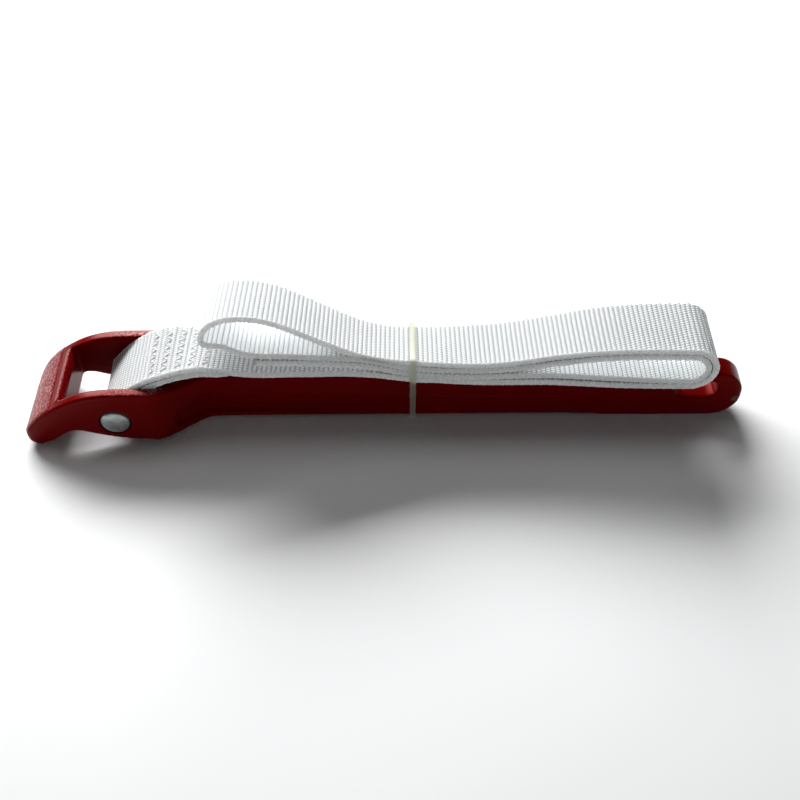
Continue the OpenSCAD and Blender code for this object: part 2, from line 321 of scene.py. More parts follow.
def grain_group():
    """Node group: fine grain, broad mottling and sparse specks at a place on the piece."""
    group = bpy.data.node_groups.new("surface_grain", "ShaderNodeTree")
    group.interface.new_socket("Place", in_out="INPUT", socket_type="NodeSocketVector")
    for name, value in (("Grain Scale", 1500.0), ("Mottle Scale", 120.0), ("Speck Level", 0.7)):
        socket = group.interface.new_socket(name, in_out="INPUT", socket_type="NodeSocketFloat")
        socket.default_value = value
    for name in ("Grain", "Mottle", "Specks"):
        group.interface.new_socket(name, in_out="OUTPUT", socket_type="NodeSocketFloat")
    start = group.nodes.new("NodeGroupInput")
    finish = group.nodes.new("NodeGroupOutput")
    place = start.outputs["Place"]
    grain = noise_node(group, place, start.outputs["Grain Scale"], 3.0, 0.6)
    mottle = noise_node(group, place, start.outputs["Mottle Scale"], 3.0, 0.55)
    level = start.outputs["Speck Level"]
    specks = ramp(group, grain, level, maths(group, "ADD", level, 0.06))
    for name, value in (("Grain", grain), ("Mottle", mottle), ("Specks", specks)):
        group.links.new(value, finish.inputs[name])
    return group


def use_grain(tree, group, place, grain_scale, mottle_scale, speck_level):
    made = tree.nodes.new("ShaderNodeGroup")
    made.node_tree = group
    tree.links.new(place, made.inputs["Place"])
    made.inputs["Grain Scale"].default_value = grain_scale
    made.inputs["Mottle Scale"].default_value = mottle_scale
    made.inputs["Speck Level"].default_value = speck_level
    return made.outputs


def red_paint(group):
    """Thick glossy red paint over a rough casting, rubbed thin where the head is worn, with pale specks
    there that are partly wear and partly painted highlight, and a painted shade ring round each rivet seat.
    """
    material, tree, shader = new_material("red_paint")
    place = object_place(tree)
    grain = use_grain(tree, group, place, 1000.0, 60.0, 0.56)
    worn = attribute(tree, "worn")
    bare = attribute(tree, "bare")
    paint = blend_colours(tree, grain["Mottle"], (0.120, 0.0004, 0.0006, 1), (0.165, 0.0006, 0.0009, 1))
    # pale pink specks on the worn head: partly paint rubbed thin, partly painted highlight for glints off
    # the rough worn paint
    rubbed_and_painted_highlight = maths(tree, "MULTIPLY", worn, ramp(tree, grain["Grain"], 0.51, 0.60))
    colour = blend_colours(tree, rubbed_and_painted_highlight, paint, (0.46, 0.135, 0.125, 1))
    iron = blend_colours(tree, grain["Grain"], (0.035, 0.04, 0.04, 1), (0.16, 0.17, 0.16, 1))
    colour = blend_colours(tree, bare, colour, iron)
    orange_peel = noise_node(tree, place, 420.0, 2.0, 0.4)
    coarse = noise_node(tree, place, 900.0, 3.0, 0.65)
    height = maths(tree, "ADD", maths(tree, "MULTIPLY", orange_peel, 0.10),
                   maths(tree, "MULTIPLY", maths(tree, "MULTIPLY", coarse, worn), 0.9))
    height = maths(tree, "SUBTRACT", height, maths(tree, "MULTIPLY", bare, 0.5))
    rough = maths(tree, "ADD", maths(tree, "MULTIPLY", worn, 0.10),
                  maths(tree, "MULTIPLY", bare, 0.35))
    # painted shade: a near-black ring round each rivet seat, where shade falls in the gap under the head
    grime = maths(tree, "MULTIPLY", attribute(tree, "grime"), 0.9)
    colour = blend_colours(tree, grime, colour, (0.004, 0.002, 0.002, 1))
    feed(tree, shader, Base_Color=colour, Roughness=maths(tree, "ADD", rough, 0.24),
         Coat_Weight=maths(tree, "MULTIPLY", worn, 0.13), Metallic=maths(tree, "MULTIPLY", bare, 0.6))
    shader.inputs["Coat Roughness"].default_value = 0.16
    shader.inputs["IOR"].default_value = 1.16
    shader.inputs["Specular IOR Level"].default_value = 1.0
    shader.inputs["Specular Tint"].default_value = (1.0, 0.02, 0.02, 1)
    bump(tree, shader, height, 0.25 * MM)
    return material


def plated_steel(group):
    """Dull zinc plating, mottled greyish green, and browned where the rivet was set."""
    material, tree, shader = new_material("plated_steel")
    place = object_place(tree)
    grain = use_grain(tree, group, place, 2200.0, 420.0, 0.62)
    browned = attribute(tree, "browned")
    zinc = blend_colours(tree, grain["Mottle"], (0.24, 0.275, 0.265, 1), (0.60, 0.65, 0.63, 1))
    colour = blend_colours(tree, browned, zinc, (0.42, 0.36, 0.22, 1))
    colour = blend_colours(tree, maths(tree, "MULTIPLY", grain["Specks"], 0.5), colour, (0.09, 0.1, 0.1, 1))
    rough = maths(tree, "ADD", maths(tree, "MULTIPLY", grain["Grain"], 0.25), 0.26)
    feed(tree, shader, Base_Color=colour, Roughness=rough, Metallic=0.9)
    height = maths(tree, "ADD", grain["Mottle"], maths(tree, "MULTIPLY", grain["Grain"], 0.35))
    bump(tree, shader, height, 0.12 * MM)
    return material


def weave_group():
    """Node group: the beads and the grooves of ribbed webbing on its own map.

    One unit of the map's first number is one rib, and one unit of its second is one bead."""
    group = bpy.data.node_groups.new("webbing_weave", "ShaderNodeTree")
    group.interface.new_socket("Map", in_out="INPUT", socket_type="NodeSocketVector")
    for name in ("Height", "Groove", "Thread"):
        group.interface.new_socket(name, in_out="OUTPUT", socket_type="NodeSocketFloat")
    start = group.nodes.new("NodeGroupInput")
    finish = group.nodes.new("NodeGroupOutput")
    parts = add_node(group, "ShaderNodeSeparateXYZ", {0: start.outputs["Map"]})
    along, across = parts.outputs[0], parts.outputs[1]
    rib = maths(group, "FLOOR", along)
    odd = maths(group, "MODULO", rib, 2.0)
    within = maths(group, "FRACT", along)
    # each bead leans across its rib, and neighbouring ribs are half a bead apart
    shifted = maths(group, "ADD", across, maths(group, "SUBTRACT", maths(group, "MULTIPLY", odd, 0.5),
                                                maths(group, "MULTIPLY", within, 0.55)))
    bead = maths(group, "ABSOLUTE", maths(group, "SINE", maths(group, "MULTIPLY", shifted, math.pi)))
    groove = maths(group, "ABSOLUTE", maths(group, "SINE", maths(group, "MULTIPLY", along, math.pi)))
    fibres = add_node(group, "ShaderNodeTexNoise",
                      {"Vector": add_node(group, "ShaderNodeMapping",
                                          {"Vector": start.outputs["Map"],
                                           "Scale": (2.0, 14.0, 1.0)}).outputs[0],
                       "Scale": 1.0, "Detail": 2.0}).outputs[0]
    height = maths(group, "MULTIPLY", maths(group, "POWER", bead, 1.5), maths(group, "POWER", groove, 0.8))
    height = maths(group, "ADD", height, maths(group, "MULTIPLY", fibres, 0.2))
    group.links.new(height, finish.inputs["Height"])
    group.links.new(groove, finish.inputs["Groove"])
    group.links.new(fibres, finish.inputs["Thread"])
    return group


def white_webbing(grain, weave, length):
    """White polyester webbing: ribs across it, beads along each rib, grooves painted darker as shade, a
    painted glow where light would come through, and a singed cut end.
    """
    material, tree, shader = new_material("white_webbing")
    own_map = add_node(tree, "ShaderNodeUVMap", uv_map="weave").outputs[0]
    cloth = tree.nodes.new("ShaderNodeGroup")
    cloth.node_tree = weave
    tree.links.new(own_map, cloth.inputs["Map"])
    fine = use_grain(tree, grain, object_place(tree), 1800.0, 90.0, 0.74)
    parts = add_node(tree, "ShaderNodeSeparateXYZ", {0: own_map})
    selvedge = attribute(tree, "selvedge")
    # painted shade: the grooves between ribs and beads are coloured dark grey for the shade that falls in
    # them; the sewn rows are brought back toward white
    woven_with_painted_shade = blend_colours(tree, ramp(tree, cloth.outputs["Height"], 0.10, 0.80),
                          (0.30, 0.335, 0.345, 1), (0.90, 0.905, 0.91, 1))
    woven_with_painted_shade = blend_colours(tree, maths(tree, "MULTIPLY", attribute(tree, "sewn"), 0.6), woven_with_painted_shade,
                          (0.80, 0.81, 0.81, 1))
    twill = maths(tree, "MULTIPLY", cloth.outputs["Thread"], maths(tree, "ADD", fine["Grain"], 0.35))
    edging = blend_colours(tree, ramp(tree, twill, 0.22, 0.58), (0.46, 0.48, 0.48, 1), (0.86, 0.87, 0.87, 1))
    white = blend_colours(tree, ramp(tree, selvedge, 0.3, 0.95), woven_with_painted_shade, edging)
    soiled = maths(tree, "MULTIPLY", ramp(tree, fine["Mottle"], 0.52, 0.75), 0.10)
    white = blend_colours(tree, soiled, white, (0.62, 0.60, 0.55, 1))
    specks = maths(tree, "MULTIPLY", attribute(tree, "specks"), 0.75)
    white = blend_colours(tree, specks, white, (0.10, 0.075, 0.05, 1))
    from_end = maths(tree, "SUBTRACT", length / rib_pitch, parts.outputs[0])
    singed = maths(tree, "SUBTRACT", 1.0, ramp(tree, from_end, 0.1, 1.1))
    white = blend_colours(tree, maths(tree, "MULTIPLY", singed, 0.55), white, (0.20, 0.15, 0.10, 1))
    # painted glow: the webbing's own colour is given out as light where the painted glow mask is set,
    # standing in for light coming through the weave
    glow = blend_colours(tree, attribute(tree, "glow"), (0, 0, 0, 1), white)
    feed(tree, shader, Base_Color=white, Roughness=0.42, Emission_Color=glow, Emission_Strength=0.6)
    shader.inputs["Subsurface Weight"].default_value = 0.8
    shader.inputs["Subsurface Radius"].default_value = (1.0, 1.0, 1.0)
    shader.inputs["Subsurface Scale"].default_value = 4 * MM
    shader.inputs["Sheen Weight"].default_value = 0.15
    shader.inputs["Sheen Roughness"].default_value = 0.4
    shader.inputs["Specular IOR Level"].default_value = 0.5
    relief = maths(tree, "MULTIPLY", cloth.outputs["Height"],
                   maths(tree, "SUBTRACT", 1.0, maths(tree, "MULTIPLY", selvedge, 0.85)))
    edge_relief = maths(tree, "MULTIPLY", maths(tree, "MULTIPLY", twill, selvedge), 0.6)
    relief = maths(tree, "ADD", relief, edge_relief)
    bump(tree, shader, relief, 0.32 * MM)
    return material


def white_thread(grain):
    """Bright bonded sewing thread."""
    material, tree, shader = new_material("white_thread")
    fine = use_grain(tree, grain, object_place(tree), 5200.0, 700.0, 0.7)
    colour = blend_colours(tree, fine["Grain"], (0.80, 0.81, 0.82, 1), (0.92, 0.925, 0.93, 1))
    feed(tree, shader, Base_Color=colour, Roughness=0.42)
    shader.inputs["Sheen Weight"].default_value = 0.2
    bump(tree, shader, fine["Grain"], 0.08 * MM)
    return material


def natural_nylon(grain):
    """Milky natural nylon that light passes through."""
    material, tree, shader = new_material("natural_nylon")
    fine = use_grain(tree, grain, object_place(tree), 900.0, 160.0, 0.7)
    colour = blend_colours(tree, fine["Mottle"], (0.80, 0.83, 0.66, 1), (0.90, 0.92, 0.80, 1))
    rough = maths(tree, "ADD", maths(tree, "MULTIPLY", fine["Grain"], 0.15), 0.26)
    feed(tree, shader, Base_Color=colour, Roughness=rough)
    shader.inputs["Transmission Weight"].default_value = 0.9
    shader.inputs["IOR"].default_value = 1.45
    bump(tree, shader, fine["Grain"], 0.03 * MM)
    return material


def bench_white():
    """Plain pale floor."""
    material, tree, shader = new_material("bench_white")
    feed(tree, shader, Base_Color=(0.92, 0.925, 0.93, 1), Roughness=0.55)
    return material


# ==== camera, light and floor
def make_camera():
    """A short telephoto view from the front, 48 degrees above the bench."""
    elevation, roll, distance = math.radians(48), math.radians(-0.45), 497.6 * MM
    aim = Vector((6.25 * MM, 0, 4.76 * MM))
    camera = new_object("camera", bpy.data.cameras.new("camera"))
    turn = Matrix.Rotation(math.pi / 2 - elevation, 4, "X") @ Matrix.Rotation(roll, 4, "Z")
    camera.location = aim + distance * Vector((0, -math.cos(elevation), math.sin(elevation)))
    camera.rotation_euler = turn.to_euler()
    camera.data.sensor_width = 36
    camera.data.lens = 52.65
    camera.data.clip_start = 0.01
    bpy.context.scene.camera = camera


def area_light(name, place, aim, size, power):
    """A rectangular soft light that faces a point."""
    data = bpy.data.lights.new(name, "AREA")
    data.shape = "RECTANGLE"
    data.size, data.size_y = size
    data.energy = power
    light = new_object(name, data)
    light.location = place
    light.rotation_euler = (Vector(aim) - Vector(place)).to_track_quat("-Z", "Y").to_euler()


def make_studio():
    """A big soft light behind the bench, a weak one in front, and an even pale surround."""
    scene = bpy.context.scene
    scene.view_settings.view_transform = "Standard"
    world = bpy.data.worlds.new("surround")
    world.use_nodes = True
    backdrop = world.node_tree.nodes["Background"]
    backdrop.inputs[0].default_value = (0.97, 0.985, 1.0, 1)
    # the surround lights the bench weakly, but is seen as a pale backdrop
    seen = world.node_tree.nodes.new("ShaderNodeLightPath").outputs["Is Camera Ray"]
    strength = add_node(world.node_tree, "ShaderNodeMapRange",
                        {"Value": seen, "To Min": 0.05, "To Max": 0.8})
    world.node_tree.links.new(strength.outputs[0], backdrop.inputs[1])
    scene.world = world
    area_light("back_softbox", (-0.28, 0.80, 0.58), (0, 0, 0.02), (0.9, 0.45), 23.5)
    area_light("front_card", (0.0, -0.95, 0.16), (0, 0, 0.03), (1.2, 0.25), 0.95)
    area_light("top_softbox", (-0.1, 0.3, 1.1), (0, 0, 0), (0.8, 0.5), 1.5)
    floor = new_piece("bench", bpy.ops.mesh.primitive_plane_add, size=6)
    give_material(floor, bench_white())


# ==== the handle
def raise_cast_skin(mesh):
    """Gives the remeshed casting its worked head: a proud front band, a rolled lip and a rough skin.

    Returns how worn each vertex is, from 0 to 1; the paint also uses it to place pale specks that are partly
    painted highlight."""
    places, normals = points_of(mesh), normals_of(mesh)
    x, y, z = places.T
    crease_x = nose_x + 12 * MM
    band = (1 - ease(crease_x - 0.5 * MM, crease_x + 0.5 * MM, x)) * ease(0.2, 0.6, normals[:, 2])
    band *= 1 - ease(head_half - 2.5 * MM, head_half - 0.8 * MM, np.abs(y))
    worn_end, clean_start = -92 * MM, -86 * MM
    near_cheek_share = 0.45
    cheek = ease(rivet_x - 8 * MM, rivet_x + 1 * MM, x) * (1 - ease(worn_end, clean_start, x))
    cheek *= ease(0.72, 0.92, normals[:, 2]) * ease(22 * MM, 26 * MM, z)
    cheek *= np.where(y < 0, near_cheek_share, 1.0)
    # the nose bar's inner edge: a rolled lip, and behind it a fall to the opening
    lip_x, lip_rise, fall_depth = nose_x + bar_length - 2.3 * MM, 0.45 * MM, 2.0 * MM
    on_bar = (1 - ease(fork_half - 0.8 * MM, fork_half + 0.6 * MM, np.abs(y))) * ease(19.5 * MM, 21 * MM, z)
    on_bar *= 1 - ease(nose_x + bar_length + 1 * MM, nose_x + bar_length + 2 * MM, x)
    lip = on_bar * np.exp(-((x - lip_x) / (0.6 * MM)) ** 2)
    fall = on_bar * ease(lip_x + 0.3 * MM, lip_x + 2.3 * MM, x)
    worn = np.clip(band + cheek + lip, 0, 1)
    in_head = x < -60 * MM
    rough = np.zeros(len(x))
    rough[in_head] = noise_at(places[in_head], 1.3 * MM) + 0.6 * noise_at(places[in_head], 2.9 * MM, 3.0)
    lift = 0.22 * MM * band + 0.07 * MM * rough * worn
    places = places + normals * lift[:, None]
    places[:, 2] += lip_rise * lip - fall_depth * fall
    put_points(mesh, places)
    return worn


def soften_recess(mesh):
    """Lays the side recesses out with soft edges, fading away along the shank."""
    places = points_of(mesh)
    x, y, z = places.T
    flare_start, flare_end = nose_x + 54 * MM, nose_x + 77 * MM
    near, far = np.array((flare_start + 13.4 * MM, 9.5 * MM)), np.array((end_x - 87 * MM, 8 * MM))
    run = far - near
    share = np.clip(((x - near[0]) * run[0] + (z - near[1]) * run[1]) / (run @ run), 0, 1)
    reach = np.hypot(x - near[0] - share * run[0], z - near[1] - share * run[1])
    radius = (5.3 - 1.3 * share) * MM
    inside = 1 - ease(radius - 0.9 * MM, radius + 0.8 * MM, reach)
    fade = np.clip((far[0] + 4 * MM - x) / (far[0] - flare_end), 0, 1)
    half = head_half + (shank_half - head_half) * ease(flare_start, flare_end, x)
    laid = half - recess_depth * fade * inside
    hold = 1 - ease(radius + 0.9 * MM, radius + 2.4 * MM, reach)
    hold *= ease(0.32, 0.45, np.abs(y) / half) * ease(2.2 * MM, 3 * MM, z)
    places[:, 1] += hold * (np.sign(y) * laid - y)
    put_points(mesh, places)


def rivet_painted_seat_shade(mesh):
    """Painted shade: a dark ring between each rivet head and its seat, where shade falls in the gap."""
    places = points_of(mesh)
    reach = np.hypot(places[:, 0] - rivet_x, places[:, 2] - rivet_z)
    ring = 1 - ease(6.3 * MM, 6.9 * MM, reach)
    return ring * ease(16.5 * MM, 17.3 * MM, np.abs(places[:, 1]))


def bare_spots(mesh):
    """Places where the paint has been knocked off, each with its radius."""
    places = points_of(mesh)
    spots = ((-92.5, -15.0, 28.6, 1.5), (-90.2, -14.2, 27.4, 1.1), (-94.6, -14.9, 29.2, 0.8),
             (146.4, -5.2, 9.6, 1.5), (148.2, 2.0, 15.5, 1.0), (-147.2, -11.0, 7.4, 1.0),
             (-126.0, 18.9, 9.0, 1.2), (66.0, 5.2, 22.9, 0.9))
    bare = np.zeros(len(places))
    for *centre, radius in spots:
        reach = np.linalg.norm(places - np.array(centre) * MM, axis=1)
        near = reach < 3 * radius * MM
        edge = radius * MM * (1 + 0.45 * noise_at(places[near], 0.9 * MM, radius))
        bare[near] = np.maximum(bare[near], 1 - ease(0.75, 1.05, reach[near] / edge))
    return bare


def cut_seat(handle, side):
    """Cuts the round flat seat for a rivet head back to a crisp edge in one cheek."""
    depth = 2 * MM
    cutter = new_piece("seat_cutter", bpy.ops.mesh.primitive_cylinder_add, vertices=72,
                       radius=factory_head_radius + 0.35 * MM, depth=depth,
                       location=(rivet_x, side * (seat_plane + depth / 2), rivet_z),
                       rotation=(math.pi / 2, 0, 0))
    settle(cutter)
    apply_modifier(handle, "BOOLEAN", operation="DIFFERENCE", solver="MANIFOLD", object=cutter)
    drop(cutter)


def make_handle(paint):
    """The casting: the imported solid's shape with soft cast edges, a worn head and small knocks."""
    handle = new_object("handle_casting", frame["nodes"]["handle"].data.copy())
    edit_faces(handle, lambda centre, normal: True)
    bpy.ops.mesh.remove_doubles(threshold=0.002 * MM)
    bpy.ops.mesh.normals_make_consistent(inside=False)
    leave_edit()
    apply_modifier(handle, "REMESH", mode="VOXEL", voxel_size=0.55 * MM)
    apply_modifier(handle, "SMOOTH", factor=0.5, iterations=7)
    for side in (-1, 1):
        cut_seat(handle, side)
    soften_recess(handle.data)
    worn = raise_cast_skin(handle.data)
    paint_attribute(handle.data, "worn", worn)
    paint_attribute(handle.data, "bare", bare_spots(handle.data))
    paint_attribute(handle.data, "grime", rivet_painted_seat_shade(handle.data))
    smooth_faces(handle)
    give_material(handle, paint)
    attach(handle, "handle")
    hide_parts("handle")
    return handle


# ==== the rivet
def rivet_head(radius, name):
    """A domed head on the XY plane: a rim, then a dome drawn up from it ring by ring."""
    rim = 0.5 * MM
    head = new_piece(name, bpy.ops.mesh.primitive_cylinder_add, vertices=64, radius=radius, depth=rim,
                     location=(0, 0, rim / 2))
    settle(head)
    edit_faces(head, lambda centre, normal: normal.z > 0.9)
    rings, sweep = 9, 80
    dome = head_rise - rim
    for ring in range(rings):
        low, high = math.radians(sweep * ring / rings), math.radians(sweep * (ring + 1) / rings)
        rise = dome * (math.sin(high) - math.sin(low)) / math.sin(math.radians(sweep))
        bpy.ops.mesh.extrude_region_move(TRANSFORM_OT_translate={"value": (0, 0, rise)})
        bpy.ops.transform.resize(value=(math.cos(high) / math.cos(low),) * 2 + (1,),
                                 center_override=(0, 0, 0))
    bpy.ops.mesh.poke()
    leave_edit()
    return head


def make_rivet(steel):
    """A solid rivet: a factory head on the near cheek, its shank, and an upset end on the far one."""
    near = rivet_head(factory_head_radius, "rivet_near")
    near.rotation_euler = (math.pi / 2, 0, 0)
    near.location = (rivet_x, -seat_plane, rivet_z)
    settle(near)
    far = rivet_head(upset_head_radius, "rivet_far")
    far.rotation_euler = (-math.pi / 2, 0, 0)
    far.location = (rivet_x, seat_plane, rivet_z)
    settle(far)
    rivet = new_piece("rivet_shank", bpy.ops.mesh.primitive_cylinder_add, vertices=64,
                      radius=rivet_radius, depth=2 * seat_plane + 0.1 * MM,
                      location=(rivet_x, 0, rivet_z), rotation=(math.pi / 2, 0, 0))
    settle(rivet)
    for head in (near, far):
        apply_modifier(rivet, "BOOLEAN", operation="UNION", solver="MANIFOLD", object=head)
        drop(head)
    rivet.name = "domed_rivet"
    bevel_edges(rivet, 0.18 * MM, 2, 35)
    places = points_of(rivet.data)
    from_axis = np.hypot(places[:, 0] - rivet_x, places[:, 2] - rivet_z)
    dent = noise_at(places, 1.9 * MM, 7.0) * 0.05 * MM * (places[:, 1] > 0) * (from_axis < 5 * MM)
    places[:, 1] += np.where(np.abs(places[:, 1]) > head_half, dent, 0)
    put_points(rivet.data, places)
    middle = 1 - ease(0.3 * MM, 1.6 * MM, from_axis + 0.5 * MM * noise_at(places, 0.8 * MM, 1.5))
    paint_attribute(rivet.data, "browned", np.where(places[:, 1] < 0, 0.6, 0.2) * middle)
    smooth_faces(rivet, 40)
    give_material(rivet, steel)
    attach(rivet, "handle")
    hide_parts("strap_rivet")


# ==== the strap's route
eye_radius = rivet_radius + eye_gap + half_thickness
tilt_places = [rivet_x + 20 * MM, rivet_x + 36 * MM, rivet_x + 58 * MM, tie_x - 40 * MM, tie_x - 14 * MM,
               tie_x, tie_x + 26 * MM, tie_x + 56 * MM, end_x - 60 * MM, end_x - 40 * MM, end_x - 15 * MM]
tilt_degrees = [0, 9.5, 11.5, 13, 16, 15, 10.5, 9.5, 5, 2.5, 0.5]


def tilt(x):
    """How far the strap leans at a place along the handle, near edge up, in radians."""
    return np.radians(np.interp(x, tilt_places, tilt_degrees))


def bed(x):
    """Height of the strap's underside over the shank."""
    lean = tilt(x)
    rise = (shank_half - shank_edge) * np.tan(lean) + shank_edge / np.cos(lean)
    return shank_top - shank_edge + rise + bed_gap


def leaned(x, y, z):
    """Places on the strap, leaned with it about the shank's top."""
    lean = tilt(x)
    up = z - shank_top
    return np.stack([x, y * np.cos(lean) + up * np.sin(lean),
                     shank_top + up * np.cos(lean) - y * np.sin(lean)], axis=-1)


def tied(layer):
    return bed(tie_x) + half_thickness + layer * tied_pitch


def stack_near(layer):
    return shank_top + 5.4 * MM + layer * loose_pitch


def stack_far(layer):
    return shank_top + 6.3 * MM + layer * loose_pitch


def strap_stations():
    """Stations along the strap's centre line: place along X, height, and direction of travel."""
    def eye(angle, travel):
        reach = math.radians(angle)
        return (rivet_x + eye_radius * math.cos(reach), rivet_z + eye_radius * math.sin(reach), travel)

    left_bend = rivet_x + 37.6 * MM + half_thickness
    left_crest = shank_top + 34.4 * MM - half_thickness
    right_bend = end_x - 15.8 * MM - half_thickness
    right_crest = shank_top + 22 * MM - half_thickness
    right_bed = bed(end_x - 28 * MM) + half_thickness
    radius = (right_crest - right_bed) / 2
    centre = right_bend - radius
    middle = right_bed + radius
    run_end = end_x - 60 * MM
    near, quarter, far = (tie_x + share * (run_end - tie_x) for share in (0.155, 0.335, 0.72))
    return [
        (rivet_x + sewn_length, rivet_z + 18.6 * MM, 176),
        (rivet_x + 31 * MM, rivet_z + 19.3 * MM, 181),
        (rivet_x + 15.6 * MM, rivet_z + 15.8 * MM, 210),
        eye(322, 232), eye(270, 180), eye(180, 90), eye(140, 50),
        (rivet_x + 14.2 * MM, rivet_z + 15.8 * MM + sewn_pitch, 29),
        (rivet_x + 32 * MM, rivet_z + 19.3 * MM + sewn_pitch, -1),
        (rivet_x + 57 * MM, rivet_z + 18.3 * MM, -5),
        (tie_x - 45 * MM, stack_far(0), -2),
        (tie_x - 22 * MM, stack_near(0), -6),
        (tie_x, tied(0), -6),
        (near, bed(near) + half_thickness, -4),
        (quarter, bed(quarter) + half_thickness, -1),
        (far, bed(far) + half_thickness, -1),
        (run_end, bed(run_end) + half_thickness, -2),
        (centre, right_bed, 0), (right_bend, middle, 90), (centre, right_crest, 180),
        (run_end, right_crest - 1.9 * MM, 188),
        (far, tied(3) + 4.3 * MM, 191),
        (quarter, tied(3) + 0.1 * MM, 182),
        (tie_x, tied(3), 178),
        (tie_x - 28 * MM, tied(3) + 6.4 * MM, 154),
        (tie_x - 45 * MM, tied(3) + 15.2 * MM, 152),
        (left_bend + 12.5 * MM, left_crest, 180),
        (left_bend, left_crest - 9.2 * MM, 270),
        (left_bend + 9.5 * MM, shank_top + 20 * MM, -34),
        (tie_x - 46 * MM, stack_far(2) + 2.3 * MM, -6),
        (tie_x - 22 * MM, stack_near(2) + 0.8 * MM, -9),
        (tie_x, tied(2), -5),
        (quarter, tied(2) + 0.1 * MM, 2),
        (far, tied(2) + 3.6 * MM, 11),
        (run_end, right_crest - 1.9 * MM - loose_pitch, 8),
        (centre, right_crest - loose_pitch, 0),
        (centre + radius - loose_pitch, middle, -90),
        (centre, right_bed + loose_pitch, -180),
        (far, bed(far) + half_thickness + loose_pitch + 0.4 * MM, -179),
        (quarter, tied(1) - 0.3 * MM, -178),
        (tie_x, tied(1), -186),
        (tie_x - 22 * MM, stack_near(1) + 0.9 * MM, -188),
        (tie_x - 45 * MM, stack_far(1) + 2.2 * MM, -183),
        (rivet_x + 58.5 * MM, stack_far(1) + 3.1 * MM, -184),
    ]


def route_between(start, finish, shares):
    """Points of the smooth curve between two stations."""
    a, d = np.array(start[:2]), np.array(finish[:2])
    reach = 0.38 * np.linalg.norm(d - a)
    b = a + reach * np.array([math.cos(math.radians(start[2])), math.sin(math.radians(start[2]))])
    c = d - reach * np.array([math.cos(math.radians(finish[2])), math.sin(math.radians(finish[2]))])
    t = shares[:, None]
    return a * (1 - t) ** 3 + 3 * b * t * (1 - t) ** 2 + 3 * c * t * t * (1 - t) + d * t ** 3


class Route:
    """The strap's centre line, measured along its length."""

    def __init__(self):
        stations = strap_stations()
        shares = np.linspace(0, 1, 48, endpoint=False)
        runs = [route_between(a, b, shares) for a, b in zip(stations, stations[1:])]
        self.points = np.concatenate(runs + [np.array([stations[-1][:2]])])
        steps = np.linalg.norm(np.diff(self.points, axis=0), axis=1)
        self.along = np.concatenate([[0], np.cumsum(steps)])
        self.length = float(self.along[-1])

    def at(self, distance):
        """Place (x, z) and normal of the centre line at distances from its sewn end."""
        step = 0.3 * MM
        place = np.stack([np.interp(distance, self.along, self.points[:, k]) for k in (0, 1)], axis=-1)
        ahead = np.stack([np.interp(distance + step, self.along, self.points[:, k]) for k in (0, 1)], -1)
        behind = np.stack([np.interp(distance - step, self.along, self.points[:, k]) for k in (0, 1)], -1)
        travel = ahead - behind
        travel /= np.linalg.norm(travel, axis=-1, keepdims=True)
        return place, np.stack([-travel[..., 1], travel[..., 0]], axis=-1)

    def find(self, x, low, high):
        """Distance along the strap, between low and high, where it passes a place along X."""
        inside = np.where((self.along >= low) & (self.along <= high))[0]
        return float(self.along[inside[np.argmin(np.abs(self.points[inside, 0] - x))]])


route = Route()


# ==== the strap
def strap_section():
    """One ring round the webbing: place across, offset, and how much of the selvedge it is."""
    flat_half = strap_width / 2 - 1.05 * MM
    across = np.linspace(-flat_half, flat_half, 13)
    selvedge = [(0.68, 1.0, 0.7), (0.96, 0.82, 1.0), (1.0, 0.0, 1.0), (0.96, -0.82, 1.0), (0.68, -1.0, 0.7)]
    top = [(y, 1.0, 0.0) for y in across]
    right = [(flat_half + 0.88 * MM * out, side, edge) for out, side, edge in selvedge]
    bottom = [(y, -1.0, 0.0) for y in across[::-1]]
    left = [(-flat_half - 0.88 * MM * out, -side, -edge) for out, side, edge in selvedge]
    return np.array(top + right + bottom + left)


def strap_surface():
    """Rings of points along the strap, and the distance of each ring from the sewn end."""
    phases = np.array([0.0, 0.16, 0.38, 0.62, 0.84])
    swell = np.array([0.0, 0.72, 1.0, 1.0, 0.72])
    ribs = int(route.length / rib_pitch)
    distance = np.append((np.arange(ribs)[:, None] + phases).ravel() * rib_pitch, ribs * rib_pitch)
    distance *= route.length / (ribs * rib_pitch)
    rib_number = np.append(np.repeat(np.arange(ribs), len(phases)), ribs)
    swell = np.append(np.tile(swell, ribs), 0.0)
    place, normal = route.at(distance)
    section = strap_section()
    y, side, edge = section.T
    # ribs stand out of both faces; where a stitch row crosses, they are drawn in
    sewn = sewn_share(distance)
    swell_now = np.maximum(swell, 0.7 * sewn)
    sunk = (1 - swell_now)[:, None] * (1 - 0.85 * np.abs(edge))[None, :]
    loose = ease(12 * MM, 30 * MM, np.abs(place[:, 0] - tie_x))
    full = 1 + (0.05 + 0.15 * loose[:, None]) * np.abs(edge)[None, :]
    off = side[None, :] * full * (1.20 * MM - 0.38 * MM * sunk - 0.10 * MM * sewn[:, None])
    off = off * (0.45 + 0.55 * ease(0.0, 5 * MM, distance))[:, None]
    every_other = np.where(rib_number % 2 == 0, 1.0, 0.4)
    bulge = np.abs(edge)[None, :] * (0.22 * MM * swell * every_other)[:, None]
    waver = 0.12 * MM * np.sin(distance / (23 * MM)) * np.sin(distance / (9.1 * MM) + 1)
    across = y[None, :] + np.sign(y)[None, :] * (bulge - 0.1 * MM) + 0.5 * waver[:, None]
    x = place[:, 0][:, None] + off * normal[:, 0][:, None]
    z = place[:, 1][:, None] + off * normal[:, 1][:, None]
    return leaned(x, across, z), distance, section


